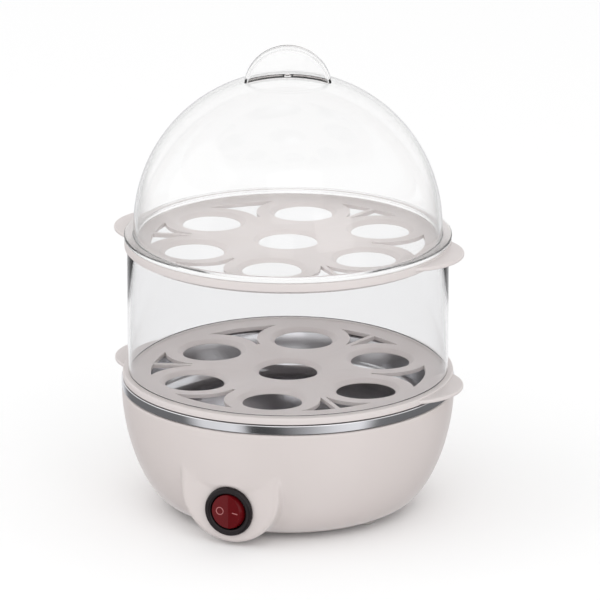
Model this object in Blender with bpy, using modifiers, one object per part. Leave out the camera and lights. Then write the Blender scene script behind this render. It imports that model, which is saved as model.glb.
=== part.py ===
"""A two-tier electric egg cooker: plastic base, steel water pan, two egg trays, clear ring and clear lid.

The origin is on the table under the middle of the base. +Z is up, the switch faces -Y and the trays' two
finger tabs point along +X and -X. The cord comes out at the back, towards +Y. Sizes are in millimetres here
and are turned into metres as each mesh is made.
"""

import math

import bmesh
import bpy
from mathutils import Matrix, Vector

MM = 0.001
GAP = 0.3                # clearance left between pieces that touch

# Base housing: a bowl whose side is a superellipse between its corner and its rim
BOWL_RIM_R = 79.9
BOWL_CORNER_R = 58.4
BOWL_RIM_Z = 59.1
BOWL_CORNER_Z = 4.0
BOWL_POWERS = (1.86, 1.5)
BOWL_BOTTOM_Z = 3.4
BOWL_MOUTH_R = 55.7
WALL = 2.2
BOWL_STEPS = 10

# Switch pad on the front of the bowl
PAD_FACE_Y = -73.9
PAD_BACK_Y = -57.0
PAD_R = 25.0
PAD_CENTRE_Z = 27.0
PAD_TOP_Z = 44.0
PAD_CAVITY_BACK_Y = -50.0

# Round rocker switch
SWITCH_Z = 17.8
BEZEL_R = 12.1
BEZEL_HEIGHT = 2.0
BARREL_R = 9.9
BARREL_BACK_Y = -55.0
POCKET_R = 8.9
POCKET_FLOOR = 2.5
ROCKER_R = 8.6
ROCKER_PIVOT_Y = -73.0
ROCKER_FACE = 2.6        # from the pivot to the middle of the face
ROCKER_BACK = 3.0        # from the pivot to the flat back
ROCKER_TRAVEL = 20.0
PLUNGER_LENGTH = 9.0

# Cord gland at the back
GLAND_Z = 20.0
GLAND_FACE_Y = 74.5
GLAND_SEAT_Y = 63.0
GLAND_BOSS_R = 8.0
GLAND_BARREL_R = 4.5
CORD_HOLE_R = 2.8

# Bottom cover, feet and the four long screws
COVER_R = 55.2
COVER_Z = 2.0
COVER_STEP_R = 42.0
COVER_STEP = 2.0
COVER_THICK = 1.8
FOOT_ANGLES = (70.0, 143.0, -143.0, -70.0)
FOOT_RING_R = 48.8
FOOT_R = 5.8
SCREW_ANGLES = (45.0, 135.0, -135.0, -45.0)
SCREW_RING_R = 38.0
POST_R = 3.6
POST_TOP_Z = 24.0
SCREW_SHANK_R = 1.4
SCREW_HOLE_R = 1.8

# Heating pan and what hangs under it
PAN_R = 80.0
PAN_RIM_Z = 63.6
PAN_BAND = 4.1
PAN_FLOOR_Z = 41.8
PAN_FLOOR_R = 62.0
PAN_THICK = 0.8
SPREADER_R = 38.0
SPREADER_Z = 37.7
ELEMENT_RING_R = 28.0
ELEMENT_TUBE_R = 3.2
ELEMENT_Z = 34.0
STRAP_Z = 27.7
STRAP_HOLE_X = 17.0

# Trays, ring and lid
DECK_THICK = 1.8
RIB_DEPTH = 2.6          # locating rib under the deck
HOLE_RING_R = 47.5
HOLE_R = 14.0
HOLE_DISH = 2.2          # how much wider the dished edge is than the hole
HOLE_WEB = 8.75
PATTERN_TURN = -17.0     # direction of the first steam slot, from the front towards +X
SLOT_INNER = 40.4
SLOT_CORNER = 63.0
SLOT_OUTER_R = 65.5
SLOT_RIB = 2.4
TAB_TIP_R = 88.1
TAB_R = 27.9
LOWER_RIM_Z = 67.3
UPPER_RIM_Z = 133.0
RING_R = 76.9
RING_WALL = 1.8
RING_TOP_Z = 131.2
LID_R = 73.8
LID_WALL = 1.6
LID_CENTRE_Z = 138.6
LID_FLANGE_R = 78.3
LID_FOOT_Z = UPPER_RIM_Z + GAP
FIN_R = 21.0
FIN_CENTRE_Z = 205.7
FIN_THICK = 8.0
FIN_WALL = 1.2
FIN_TURN = 22.0          # the lid as it is set down, turned from the front towards +X
VENT_R = 2.5
VENT_RING_R = 24.0

ROUND = 32               # facets around the large turned pieces
SMALL = 12               # facets around screws and pins

FINISHES = {
    "cream_plastic": ((0.78, 0.72, 0.70), 0.35, 0.0),
    "tray_plastic": ((0.82, 0.77, 0.75), 0.4, 0.0),
    "clear_plastic": ((0.95, 0.96, 0.97), 0.08, 0.0),
    "steel": ((0.72, 0.72, 0.74), 0.18, 1.0),
    "aluminium": ((0.75, 0.75, 0.76), 0.4, 1.0),
    "zinc_steel": ((0.6, 0.6, 0.6), 0.35, 1.0),
    "brass": ((0.75, 0.6, 0.3), 0.3, 1.0),
    "rubber": ((0.75, 0.73, 0.71), 0.8, 0.0),
    "silicone": ((0.85, 0.85, 0.84), 0.6, 0.0),
    "black_plastic": ((0.02, 0.02, 0.02), 0.3, 0.0),
    "red_lens": ((0.35, 0.01, 0.01), 0.2, 0.0),
    "lead_sleeve": ((0.8, 0.8, 0.78), 0.7, 0.0),
}

PARTS = None
CUTTERS = None
ROOT = None


def start():
    """Empty the scene and make the two collections and the empty that carries the parts."""
    global PARTS, CUTTERS, ROOT
    for obj in list(bpy.data.objects):
        bpy.data.objects.remove(obj, do_unlink=True)
    PARTS = bpy.data.collections.new("egg_cooker")
    CUTTERS = bpy.data.collections.new("cutters")
    bpy.context.scene.collection.children.link(PARTS)
    bpy.context.scene.collection.children.link(CUTTERS)
    ROOT = bpy.data.objects.new("egg_cooker_origin", None)
    PARTS.objects.link(ROOT)


def finish_material(name):
    """The Principled material of that finish, made once."""
    if name in bpy.data.materials:
        return bpy.data.materials[name]
    colour, roughness, metallic = FINISHES[name]
    material = bpy.data.materials.new(name)
    material.use_nodes = True
    shader = material.node_tree.nodes["Principled BSDF"]
    shader.inputs["Base Color"].default_value = (*colour, 1.0)
    shader.inputs["Roughness"].default_value = roughness
    shader.inputs["Metallic"].default_value = metallic
    if name == "clear_plastic":
        shader.inputs["Transmission Weight"].default_value = 1.0
    return material


def add(name, mesh, finish=None):
    """Put a mesh in the scene, as a part where it has a finish and as a cutter where it has none."""
    mesh.name = name
    obj = bpy.data.objects.new(name, mesh)
    if finish is None:
        CUTTERS.objects.link(obj)
        obj.hide_render = True
        obj.display_type = "WIRE"
    else:
        PARTS.objects.link(obj)
        mesh.materials.append(finish_material(finish))
        obj.parent = ROOT
    return obj


def mesh_of(bm, name):
    mesh = bpy.data.meshes.new(name)
    bm.to_mesh(mesh)
    bm.free()
    return mesh


def turned(name, profile, finish=None, steps=ROUND, closed=False):
    """Turn (radius, height) points about Z. The points run down the piece's outer side."""
    bm = bmesh.new()
    verts = [bm.verts.new((r * MM, 0.0, z * MM)) for r, z in profile]
    pairs = list(zip(verts, verts[1:]))
    if closed:
        pairs.append((verts[-1], verts[0]))
    for first, second in pairs:
        bm.edges.new((first, second))
    obj = add(name, mesh_of(bm, name), finish)
    screw = obj.modifiers.new("turn", "SCREW")
    screw.axis = "Z"
    screw.angle = math.tau
    screw.steps = steps
    screw.render_steps = steps
    screw.use_merge_vertices = True
    screw.merge_threshold = 0.00001
    screw.use_smooth_shade = True
    return obj


def rod(name, radius, low, high, finish=None, sides=SMALL):
    """A cylinder between two points."""
    low, high = Vector(low) * MM, Vector(high) * MM
    bm = bmesh.new()
    turn = (high - low).to_track_quat("Z", "Y").to_matrix().to_4x4()
    bmesh.ops.create_cone(bm, cap_ends=True, segments=sides, radius1=radius * MM, radius2=radius * MM,
                          depth=(high - low).length, matrix=Matrix.Translation((low + high) / 2) @ turn)
    return add(name, mesh_of(bm, name), finish)


def block(name, low, high, finish=None, turn=0.0):
    """A box between two corners, turned about the object's vertical axis by an angle in degrees."""
    low, high = Vector(low) * MM, Vector(high) * MM
    bm = bmesh.new()
    place = Matrix.Translation((low + high) / 2) @ Matrix.Diagonal((*(high - low), 1.0))
    bmesh.ops.create_cube(bm, size=1.0, matrix=Matrix.Rotation(math.radians(turn), 4, "Z") @ place)
    return add(name, mesh_of(bm, name), finish)


def flat_solid(name, outlines, low, high, finish=None, facing_front=False):
    """Extrude flat outlines from low to high, upwards or, facing the front, towards -Y."""
    curve = bpy.data.curves.new(name, "CURVE")
    curve.dimensions = "2D"
    curve.fill_mode = "BOTH"
    curve.extrude = (high - low) / 2 * MM
    for outline in outlines:
        spline = curve.splines.new("POLY")
        spline.points.add(len(outline) - 1)
        for point, (x, y) in zip(spline.points, outline):
            point.co = (x * MM, y * MM, 0.0, 1.0)
        spline.use_cyclic_u = True
    guide = bpy.data.objects.new(name + "_outline", curve)
    CUTTERS.objects.link(guide)
    depsgraph = bpy.context.evaluated_depsgraph_get()
    mesh = bpy.data.meshes.new_from_object(guide.evaluated_get(depsgraph))
    bpy.data.objects.remove(guide, do_unlink=True)
    bm = bmesh.new()
    bm.from_mesh(mesh)
    bmesh.ops.remove_doubles(bm, verts=bm.verts, dist=0.00001)
    bmesh.ops.recalc_face_normals(bm, faces=bm.faces)
    bm.transform(Matrix.Translation((0.0, 0.0, (low + high) / 2 * MM)))
    if facing_front:
        bm.transform(Matrix.Rotation(math.radians(90), 4, "X"))
    bm.to_mesh(mesh)
    bm.free()
    mesh.materials.clear()
    return add(name, mesh, finish)


def smooth_route(points, samples=4):
    """Points along a Catmull-Rom curve through the given points."""
    path = [Vector(p) for p in points]
    ends = [path[0] * 2 - path[1], *path, path[-1] * 2 - path[-2]]
    route = []
    for a, b, c, d in zip(ends, ends[1:], ends[2:], ends[3:]):
        for i in range(samples):
            t = i / samples
            route.append(0.5 * (2 * b + (c - a) * t + (2 * a - 5 * b + 4 * c - d) * t ** 2
                                + (3 * b - a - 3 * c + d) * t ** 3))
    return [*route, path[-1]]


def tube(name, points, radius, finish, sides_level=1):
    """A round tube along the points."""
    curve = bpy.data.curves.new(name, "CURVE")
    curve.dimensions = "3D"
    curve.bevel_depth = radius * MM
    curve.bevel_resolution = sides_level
    curve.use_fill_caps = True
    spline = curve.splines.new("POLY")
    spline.points.add(len(points) - 1)
    for point, place in zip(spline.points, points):
        point.co = (*(Vector(place) * MM), 1.0)
    curve.materials.append(finish_material(finish))
    obj = bpy.data.objects.new(name, curve)
    PARTS.objects.link(obj)
    obj.parent = ROOT
    return obj


def combine(target, tool, operation="DIFFERENCE"):
    boolean = target.modifiers.new(tool.name, "BOOLEAN")
    boolean.operation = operation
    boolean.object = tool
    boolean.solver = "EXACT"


def around(angle, radius, height):
    """A point at an angle in degrees from the front (-Y) towards +X."""
    turn = math.radians(angle)
    return (radius * math.sin(turn), -radius * math.cos(turn), height)


def face_front(obj, at_y=0.0, at_z=0.0):
    """Turn a piece made along +Z so that it points towards -Y."""
    obj.rotation_euler = (math.radians(90), 0.0, 0.0)
    obj.location = (0.0, at_y * MM, at_z * MM)


def face_back(obj, at_z):
    """Turn a piece made along +Z so that it points towards +Y."""
    obj.rotation_euler = (math.radians(-90), 0.0, 0.0)
    obj.location = (0.0, 0.0, at_z * MM)


def bowl_side():
    """The bowl's outer side from its rim down to its corner."""
    power_z, power_r = BOWL_POWERS
    side = []
    for i in range(BOWL_STEPS + 1):
        t = math.sin(i / BOWL_STEPS * math.pi / 2)
        radius = BOWL_CORNER_R + (BOWL_RIM_R - BOWL_CORNER_R) * max(0.0, 1 - t ** power_z) ** (1 / power_r)
        side.append((radius, BOWL_RIM_Z - t * (BOWL_RIM_Z - BOWL_CORNER_Z)))
    return side


def inset(points, distance):
    """Move each point of a profile that runs down an outer side inwards, square to the side."""
    moved = []
    for i, (r, z) in enumerate(points):
        before, after = points[max(i - 1, 0)], points[min(i + 1, len(points) - 1)]
        dr, dz = after[0] - before[0], after[1] - before[1]
        length = math.hypot(dr, dz)
        moved.append((r + dz / length * distance, z - dr / length * distance))
    return moved


def pad_outline(radius):
    """A U: a half circle at the bottom with straight sides above it."""
    arc = [math.radians(180 + 180 * i / 16) for i in range(17)]
    half = [(radius * math.cos(a), PAD_CENTRE_Z + radius * math.sin(a)) for a in arc]
    return [*half, (radius, PAD_TOP_Z), (-radius, PAD_TOP_Z)]


def base_housing():
    side = bowl_side()
    outer = [(0, BOWL_RIM_Z), *side, (BOWL_CORNER_R - 0.8, BOWL_BOTTOM_Z), (0, BOWL_BOTTOM_Z)]
    bowl = turned("base_housing", outer, "cream_plastic")
    combine(bowl, flat_solid("pad_solid", [pad_outline(PAD_R)], -PAD_BACK_Y, -PAD_FACE_Y, facing_front=True),
            "UNION")
    combine(bowl, rod("gland_boss", GLAND_BOSS_R, (0, GLAND_SEAT_Y, GLAND_Z), (0, GLAND_FACE_Y, GLAND_Z),
                      sides=24), "UNION")
    inner_side = inset(side, WALL)
    inner = [(0, BOWL_RIM_Z + 2), (inner_side[0][0], BOWL_RIM_Z + 2), *inner_side,
             (BOWL_MOUTH_R, inner_side[-1][1]), (BOWL_MOUTH_R, 0), (0, 0)]
    combine(bowl, turned("bowl_hollow", inner))
    combine(bowl, flat_solid("pad_hollow", [pad_outline(PAD_R - WALL)], -PAD_CAVITY_BACK_Y,
                             -PAD_FACE_Y - WALL, facing_front=True))
    combine(bowl, rod("gland_seat", GLAND_BOSS_R - 0.8, (0, GLAND_SEAT_Y, GLAND_Z),
                      (0, GLAND_FACE_Y - 1, GLAND_Z),
                      sides=20), "UNION")
    combine(bowl, rod("switch_hole", BARREL_R + GAP, (0, PAD_FACE_Y - 3, SWITCH_Z),
                      (0, PAD_FACE_Y + WALL + 1, SWITCH_Z), sides=24))
    combine(bowl, rod("bezel_seat", BEZEL_R + GAP, (0, PAD_FACE_Y - 6, SWITCH_Z),
                      (0, PAD_FACE_Y + 0.1, SWITCH_Z),
                      sides=32))
    combine(bowl, rod("gland_hole", GLAND_BARREL_R + GAP, (0, GLAND_SEAT_Y - 2, GLAND_Z),
                      (0, GLAND_FACE_Y + 3, GLAND_Z), sides=16))
    post_low = COVER_Z + COVER_STEP + COVER_THICK + GAP
    for i, angle in enumerate(SCREW_ANGLES, 1):
        combine(bowl, block(f"post_rib_{i}", (-1.2, -66.2, 12), (1.2, -SCREW_RING_R, 22), turn=angle),
                "UNION")
        combine(bowl, rod(f"post_{i}", POST_R, around(angle, SCREW_RING_R, post_low),
                          around(angle, SCREW_RING_R, POST_TOP_Z)), "UNION")
        combine(bowl, rod(f"post_bore_{i}", SCREW_HOLE_R, around(angle, SCREW_RING_R, 0),
                          around(angle, SCREW_RING_R, POST_TOP_Z + 4)))


def bottom_cover():
    step_z = COVER_Z + COVER_STEP
    profile = [(0, step_z + COVER_THICK), (COVER_STEP_R + 0.8, step_z + COVER_THICK),
               (COVER_STEP_R + 1.6, COVER_Z + COVER_THICK), (COVER_R - 1.8, COVER_Z + COVER_THICK),
               (COVER_R - 1.8, 7.0), (COVER_R, 7.0), (COVER_R, COVER_Z + 0.6), (COVER_R - 0.6, COVER_Z),
               (COVER_STEP_R, COVER_Z), (COVER_STEP_R - 0.8, step_z), (0, step_z)]
    cover = turned("bottom_cover", profile, "cream_plastic")
    bm = bmesh.new()
    for i in range(12):
        place = Matrix.Rotation(math.radians(30 * i + 15), 4, "Z") @ Matrix.Translation((0.018, 0, 0.005))
        bmesh.ops.create_cube(bm, size=1.0, matrix=place @ Matrix.Diagonal((0.016, 0.0024, 0.01, 1)))
    for angle in SCREW_ANGLES:
        x, y, _ = around(angle, SCREW_RING_R, 0)
        bmesh.ops.create_cone(bm, cap_ends=True, segments=SMALL, radius1=SCREW_HOLE_R * MM,
                              radius2=SCREW_HOLE_R * MM, depth=0.02,
                              matrix=Matrix.Translation((x * MM, y * MM, 0)))
    for angle in FOOT_ANGLES:
        x, y, _ = around(angle, FOOT_RING_R, 0)
        bmesh.ops.create_cone(bm, cap_ends=True, segments=SMALL, radius1=0.0023, radius2=0.0023, depth=0.02,
                              matrix=Matrix.Translation((x * MM, y * MM, 0)))
    combine(cover, add("cover_openings", mesh_of(bm, "cover_openings")))


def feet():
    top = COVER_Z + COVER_THICK
    profile = [(0, top + 1.8), (1.5, top + 1.8), (2.9, top + 0.9), (2.9, top + GAP), (2.0, top + GAP),
               (2.0, COVER_Z - GAP), (FOOT_R - 0.4, COVER_Z - GAP), (FOOT_R, 1.2), (FOOT_R - 0.3, 0), (0, 0)]
    for i, angle in enumerate(FOOT_ANGLES, 1):
        foot = turned(f"foot_{i}", profile, "rubber", steps=SMALL)
        foot.location = Vector(around(angle, FOOT_RING_R, 0)) * MM


def cover_screws():
    head_top = COVER_Z + COVER_STEP - GAP
    tip = POST_TOP_Z + 3.0
    profile = [(0, tip), (SCREW_SHANK_R - 0.4, tip), (SCREW_SHANK_R, tip - 1), (SCREW_SHANK_R, head_top),
               (3.1, head_top), (3.1, head_top - 0.6), (2.2, head_top - 1.5), (0, head_top - 1.5)]
    for i, angle in enumerate(SCREW_ANGLES, 1):
        screw = turned(f"cover_screw_{i}", profile, "zinc_steel", steps=SMALL)
        screw.location = Vector(around(angle, SCREW_RING_R, 0)) * MM


def heating_pan():
    band_z = PAN_RIM_Z - PAN_BAND
    shoulder_z = PAN_RIM_Z - 1.2
    floor = PAN_FLOOR_Z
    profile = [(0, floor), (PAN_FLOOR_R, floor), (70.0, floor + 2.6), (72.0, floor + 6.0),
               (75.0, shoulder_z), (76.2, PAN_RIM_Z), (PAN_R - 0.4, PAN_RIM_Z), (PAN_R, PAN_RIM_Z - 0.4),
               (PAN_R, band_z), (PAN_R - PAN_THICK, band_z), (PAN_R - PAN_THICK, PAN_RIM_Z - PAN_THICK),
               (76.0, PAN_RIM_Z - PAN_THICK), (74.1, shoulder_z - 0.6), (71.2, floor + 6.0),
               (69.4, floor + 3.0), (PAN_FLOOR_R, floor - PAN_THICK), (0, floor - PAN_THICK)]
    turned("heating_pan", profile, "steel")
    seal = [(76.6, shoulder_z), (78.8, shoulder_z), (78.8, BOWL_RIM_Z + GAP), (76.6, BOWL_RIM_Z + GAP)]
    turned("pan_seal", seal, "silicone", closed=True)


def heat_spreader():
    top = PAN_FLOOR_Z - PAN_THICK - GAP
    disc = turned("heat_spreader", [(0, top), (SPREADER_R, top), (SPREADER_R, SPREADER_Z), (0, SPREADER_Z)],
                  "aluminium", steps=32)
    for i, x in enumerate((-STRAP_HOLE_X, STRAP_HOLE_X), 1):
        combine(disc, rod(f"strap_boss_{i}", 3.2, (x, 0, STRAP_Z + 1 + GAP), (x, 0, top - 1)), "UNION")
        combine(disc, rod(f"strap_boss_bore_{i}", 1.6, (x, 0, STRAP_Z - 2), (x, 0, 35)))


def heating_element():
    """A tube bent into an open ring under the spreader, its two ends turned down at the back."""
    ends = math.asin(10.0 / ELEMENT_RING_R)
    sweep = math.tau - 2 * ends
    ring = []
    for i in range(25):
        angle = math.pi / 2 + ends + sweep * i / 24
        ring.append((ELEMENT_RING_R * math.cos(angle), ELEMENT_RING_R * math.sin(angle), ELEMENT_Z))
    first, last = ring[0], ring[-1]
    legs = [[(x, y, ELEMENT_Z - drop) for drop in (2.5, 9.0)] for x, y, _ in (first, last)]
    tube("heating_element", [*reversed(legs[0]), *ring, *legs[1]], ELEMENT_TUBE_R, "zinc_steel", 2)
    for i, leg in enumerate(legs, 1):
        x, y, z = leg[-1]
        rod(f"element_pin_{i}", 1.1, (x, y, z - GAP - 6), (x, y, z - GAP), "zinc_steel", sides=8)


def thermostat():
    top = SPREADER_Z - GAP
    foot = STRAP_Z + 1 + GAP
    profile = [(0, top), (8.0, top), (8.0, top - 2), (7.2, top - 2), (7.2, foot), (0, foot)]
    turned("thermostat", profile, "black_plastic", steps=20)
    strap = block("thermostat_strap", (-21, -5, STRAP_Z), (21, 5, STRAP_Z + 1), "zinc_steel")
    screw = [(0, 33), (1.3, 33), (1.3, STRAP_Z - GAP), (2.6, STRAP_Z - GAP), (2.6, STRAP_Z - 1.4),
             (1.8, STRAP_Z - 1.9), (0, STRAP_Z - 1.9)]
    for i, x in enumerate((-STRAP_HOLE_X, STRAP_HOLE_X), 1):
        combine(strap, rod(f"strap_hole_{i}", 1.6, (x, 0, STRAP_Z - 2), (x, 0, STRAP_Z + 3)))
        piece = turned(f"strap_screw_{i}", screw, "zinc_steel", steps=SMALL)
        piece.location = (x * MM, 0, 0)


def pan_brackets():
    """Four bent strips between the posts of the housing and the underside of the pan."""
    foot_z = POST_TOP_Z + GAP
    for i, angle in enumerate(SCREW_ANGLES, 1):
        bracket = block(f"pan_bracket_{i}", (-4.4, -45.6, foot_z), (4.4, -33.5, foot_z + 1.4), "zinc_steel",
                        angle)
        combine(bracket, block(f"bracket_leg_{i}", (-3.8, -45.2, foot_z + 0.5),
                               (3.8, -44.0, PAN_FLOOR_Z - PAN_THICK - GAP), turn=angle), "UNION")
        combine(bracket, rod(f"bracket_hole_{i}", SCREW_HOLE_R, around(angle, SCREW_RING_R, foot_z - 2),
                             around(angle, SCREW_RING_R, foot_z + 4)))


def cord_gland():
    flange = GLAND_FACE_Y + GAP
    profile = [(CORD_HOLE_R, flange + 2.4), (5.2, flange + 2.4), (6.6, flange + 1.4), (6.6, flange),
               (GLAND_BARREL_R, flange), (GLAND_BARREL_R, GLAND_SEAT_Y - 5), (CORD_HOLE_R, GLAND_SEAT_Y - 5)]
    face_back(turned("cord_gland", profile, "black_plastic", steps=20, closed=True), GLAND_Z)
    nut_top, nut_low = GLAND_SEAT_Y - GAP, GLAND_SEAT_Y - 3.5
    nut_bore = (GLAND_BARREL_R + GAP) / math.cos(math.pi / 6)
    nut = [(nut_bore, nut_top), (7.6, nut_top), (7.6, nut_low), (nut_bore, nut_low)]
    face_back(turned("gland_nut", nut, "black_plastic", steps=6, closed=True), GLAND_Z)


def switch_body():
    """The switch's case: a flange on the pad, a barrel behind it and a pocket for the rocker."""
    front = -PAD_FACE_Y + GAP + BEZEL_HEIGHT
    back = -BARREL_BACK_Y
    solid = [(0, front), (BEZEL_R - 1.0, front), (BEZEL_R, front - 0.8), (BEZEL_R, front - BEZEL_HEIGHT),
             (BARREL_R, front - BEZEL_HEIGHT), (BARREL_R, back), (0, back)]
    body = turned("switch_body", solid, "black_plastic", steps=24)
    floor = back + POCKET_FLOOR
    pocket = [(0, front + 3), (POCKET_R, front + 3), (POCKET_R, floor), (0, floor)]
    combine(body, turned("switch_pocket", pocket, steps=24))
    face_front(body, at_z=SWITCH_Z)
    face_front(bpy.data.objects["switch_pocket"], at_z=SWITCH_Z)
    for i, x in enumerate((-5.0, 0.0, 5.0), 1):
        block(f"switch_terminal_{i}", (x - 0.4, BARREL_BACK_Y + GAP, SWITCH_Z - 2.4),
              (x + 0.4, -46.0, SWITCH_Z + 2.4), "brass")
    rod("switch_lamp", 1.4, (0, -60.0, SWITCH_Z - 4), (0, -60.0, SWITCH_Z + 4), "clear_plastic")


def switch_rocker():
    """A ball slice with a two-sided paddle face, stored with the left, off side pressed in."""
    bm = bmesh.new()
    bmesh.ops.create_uvsphere(bm, u_segments=20, v_segments=12, radius=ROCKER_R * MM)
    rocker = add("switch_rocker", mesh_of(bm, "switch_rocker"), "red_lens")
    rocker.location = (0, ROCKER_PIVOT_Y * MM, SWITCH_Z * MM)
    size = 2 * ROCKER_R
    face_y = ROCKER_PIVOT_Y - ROCKER_FACE
    below, above = SWITCH_Z - size, SWITCH_Z + size
    combine(rocker, block("rocker_off_side", (-size, face_y - size, below), (0, face_y, above)))
    slope = block("rocker_on_side", (-size, -size, -size), (2 * size, 0, size))
    slope.rotation_euler = (0, 0, math.radians(-ROCKER_TRAVEL))
    slope.location = (0, face_y * MM, SWITCH_Z * MM)
    combine(rocker, slope)
    back_y = ROCKER_PIVOT_Y + ROCKER_BACK
    combine(rocker, block("rocker_behind", (-size, back_y, below), (size, back_y + size, above)))
    lean = math.radians(ROCKER_TRAVEL / 2)
    along = Vector((math.sin(lean), math.cos(lean), 0))
    pivot = Vector((0, ROCKER_PIVOT_Y, SWITCH_Z))
    rod("switch_plunger", 1.2, pivot + along * (ROCKER_BACK + 2 * GAP), pivot + along * PLUNGER_LENGTH,
        "brass")
    front = ROCKER_PIVOT_Y + PLUNGER_LENGTH + GAP
    back = BARREL_BACK_Y - POCKET_FLOOR
    bridge = [(-5.5, front), (5.5, front), (5.5, back), (4.7, back), (4.7, front + 0.8), (-4.7, front + 0.8),
              (-4.7, back), (-5.5, back)]
    flat_solid("switch_contact", [bridge], SWITCH_Z - 2, SWITCH_Z + 2, "brass")


def wiring():
    """The terminal block, the thermal fuse and the sleeved leads between them."""
    block("terminal_block", (3, 12, 6.1), (21, 22, 15.1), "lead_sleeve")
    rod("thermal_fuse", 2.2, (-12, -6, 18), (-12, 6, 18), "silicone")
    routes = {
        "lead_supply_switch": [(-1.4, 56.2, 20), (-12, 49, 14), (-30, 36, 8.8), (-45, 14, 8.8),
                               (-46, -12, 8.8),
                               (-36, -31, 9.2), (-18, -41, 12), (-6.5, -41, 16), (-5, -44.9, 17.8)],
        "lead_supply_block": [(1.4, 56.2, 20), (5, 49, 16), (8, 38, 11.5), (9, 29, 10.5), (9, 22.4, 10.5)],
        "lead_switch_block": [(5, -44.9, 17.8), (7, -40, 15), (11, -20, 11), (10, 0, 10.5), (9, 11.6, 10.5)],
        "lead_switch_fuse": [(0, -45.2, 17.8), (-3, -38, 17), (-11, -20, 17.5), (-12, -6.4, 18)],
        "lead_fuse_element": [(-12, 6.4, 18), (-12, 14, 17.3), (-11, 22, 15.6), (-10, 26.1, 17.4)],
        "lead_block_element": [(10, 26.1, 17.4), (12, 29.6, 15), (16, 31, 13), (17, 28, 11),
                               (16, 22.4, 10.5)],
    }
    for name, points in routes.items():
        tube(name, smooth_route(points, 3), 1.1, "lead_sleeve")


def slot_outlines(angle, split):
    """A three-sided steam slot that follows the two holes beside it, in two halves where it has a rib."""
    centre_u, centre_v = HOLE_RING_R * math.cos(math.pi / 6), HOLE_RING_R * math.sin(math.pi / 6)
    reach = HOLE_R + HOLE_WEB
    rib = SLOT_RIB / 2 if split else 0.0
    sides = []
    for i in range(7):
        u = SLOT_INNER + (SLOT_CORNER - SLOT_INNER) * i / 6
        v = centre_v - math.sqrt(reach ** 2 - (u - centre_u) ** 2)
        if v > rib + 0.4:
            sides.append((u, v))
    corner = math.atan2(sides[-1][1], sides[-1][0])
    rise = math.asin(rib / SLOT_OUTER_R)
    arc = [corner + (rise - corner) * i / 4 for i in range(5)]
    half = [*sides, *((SLOT_OUTER_R * math.cos(a), SLOT_OUTER_R * math.sin(a)) for a in arc)]
    if split:
        tip = sides[0][0]
        shapes = [[(tip, rib), *half], [(tip, -rib), *((u, -v) for u, v in half)]]
    else:
        shapes = [[*half, *((u, -v) for u, v in reversed(half[:-1]))]]
    turn = math.radians(angle - 90)
    return [[(u * math.cos(turn) - v * math.sin(turn), u * math.sin(turn) + v * math.cos(turn))
             for u, v in shape] for shape in shapes]


def tab_outline(skirt_r, side):
    """The finger tab: a round lobe that starts inside the skirt's wall."""
    centre = TAB_TIP_R - TAB_R
    start_r = skirt_r - 0.4
    reach = math.acos((start_r ** 2 + centre ** 2 - TAB_R ** 2) / (2 * start_r * centre))
    lobe = math.atan2(start_r * math.sin(reach), start_r * math.cos(reach) - centre)
    outline = []
    for i in range(13):
        a = lobe * (i / 6 - 1)
        outline.append((side * (centre + TAB_R * math.cos(a)), TAB_R * math.sin(a)))
    for i in range(1, 6):
        a = reach * (1 - i / 3)
        outline.append((side * start_r * math.cos(a), start_r * math.sin(a)))
    return outline


def egg_tray(name, rim_z, profile, skirt_r, deck_z):
    tray = turned(name, profile, "tray_plastic")
    tabs = [tab_outline(skirt_r, side) for side in (1, -1)]
    combine(tray, flat_solid(name + "_tabs", tabs, rim_z - 2.8, rim_z - 0.8), "UNION")
    bm = bmesh.new()
    spots = [(0.0, 0.0)]
    for i in range(6):
        x, y, _ = around(PATTERN_TURN + 30 + 60 * i, HOLE_RING_R, 0)
        spots.append((x, y))
    for x, y in spots:
        middle = Vector((x, y, deck_z - DECK_THICK / 2)) * MM
        bmesh.ops.create_cone(bm, cap_ends=True, segments=20, radius1=(HOLE_R - HOLE_DISH) * MM,
                              radius2=(HOLE_R + 2 * HOLE_DISH) * MM, depth=3 * DECK_THICK * MM,
                              matrix=Matrix.Translation(middle))
    combine(tray, add(name + "_holes", mesh_of(bm, name + "_holes")))
    slots = [shape for i in range(6) for shape in slot_outlines(PATTERN_TURN + 60 * i, i % 2 == 1)]
    combine(tray, flat_solid(name + "_slots", slots, deck_z - 5, deck_z + 3))


def trays():
    deck = LOWER_RIM_Z - 0.5
    under = deck - DECK_THICK
    seat = PAN_RIM_Z + 0.4
    lower = [(0, deck), (74.4, deck), (75.2, LOWER_RIM_Z), (79.0, LOWER_RIM_Z), (79.4, LOWER_RIM_Z - 0.4),
             (79.4, seat), (77.6, seat), (77.6, under), (74.0, under), (73.8, under - RIB_DEPTH),
             (72.4, under - RIB_DEPTH), (72.4, under), (0, under)]
    egg_tray("lower_tray", LOWER_RIM_Z, lower, 79.4, deck)
    deck = UPPER_RIM_Z - 1.5
    under = deck - DECK_THICK
    skirt_low = UPPER_RIM_Z - 4.1
    groove = RING_TOP_Z + GAP
    upper = [(0, deck), (72.0, deck), (76.0, UPPER_RIM_Z), (77.8, UPPER_RIM_Z), (78.2, UPPER_RIM_Z - 0.4),
             (78.2, skirt_low), (77.25, skirt_low), (77.25, groove), (74.7, groove),
             (74.5, under - RIB_DEPTH), (73.1, under - RIB_DEPTH), (73.1, under), (0, under)]
    egg_tray("upper_tray", UPPER_RIM_Z, upper, 78.2, deck)


def middle_ring():
    low = LOWER_RIM_Z + GAP
    inner = RING_R - RING_WALL
    turned("middle_ring", [(inner, RING_TOP_Z), (RING_R, RING_TOP_Z), (RING_R, low), (inner, low)],
           "clear_plastic", closed=True)


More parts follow.
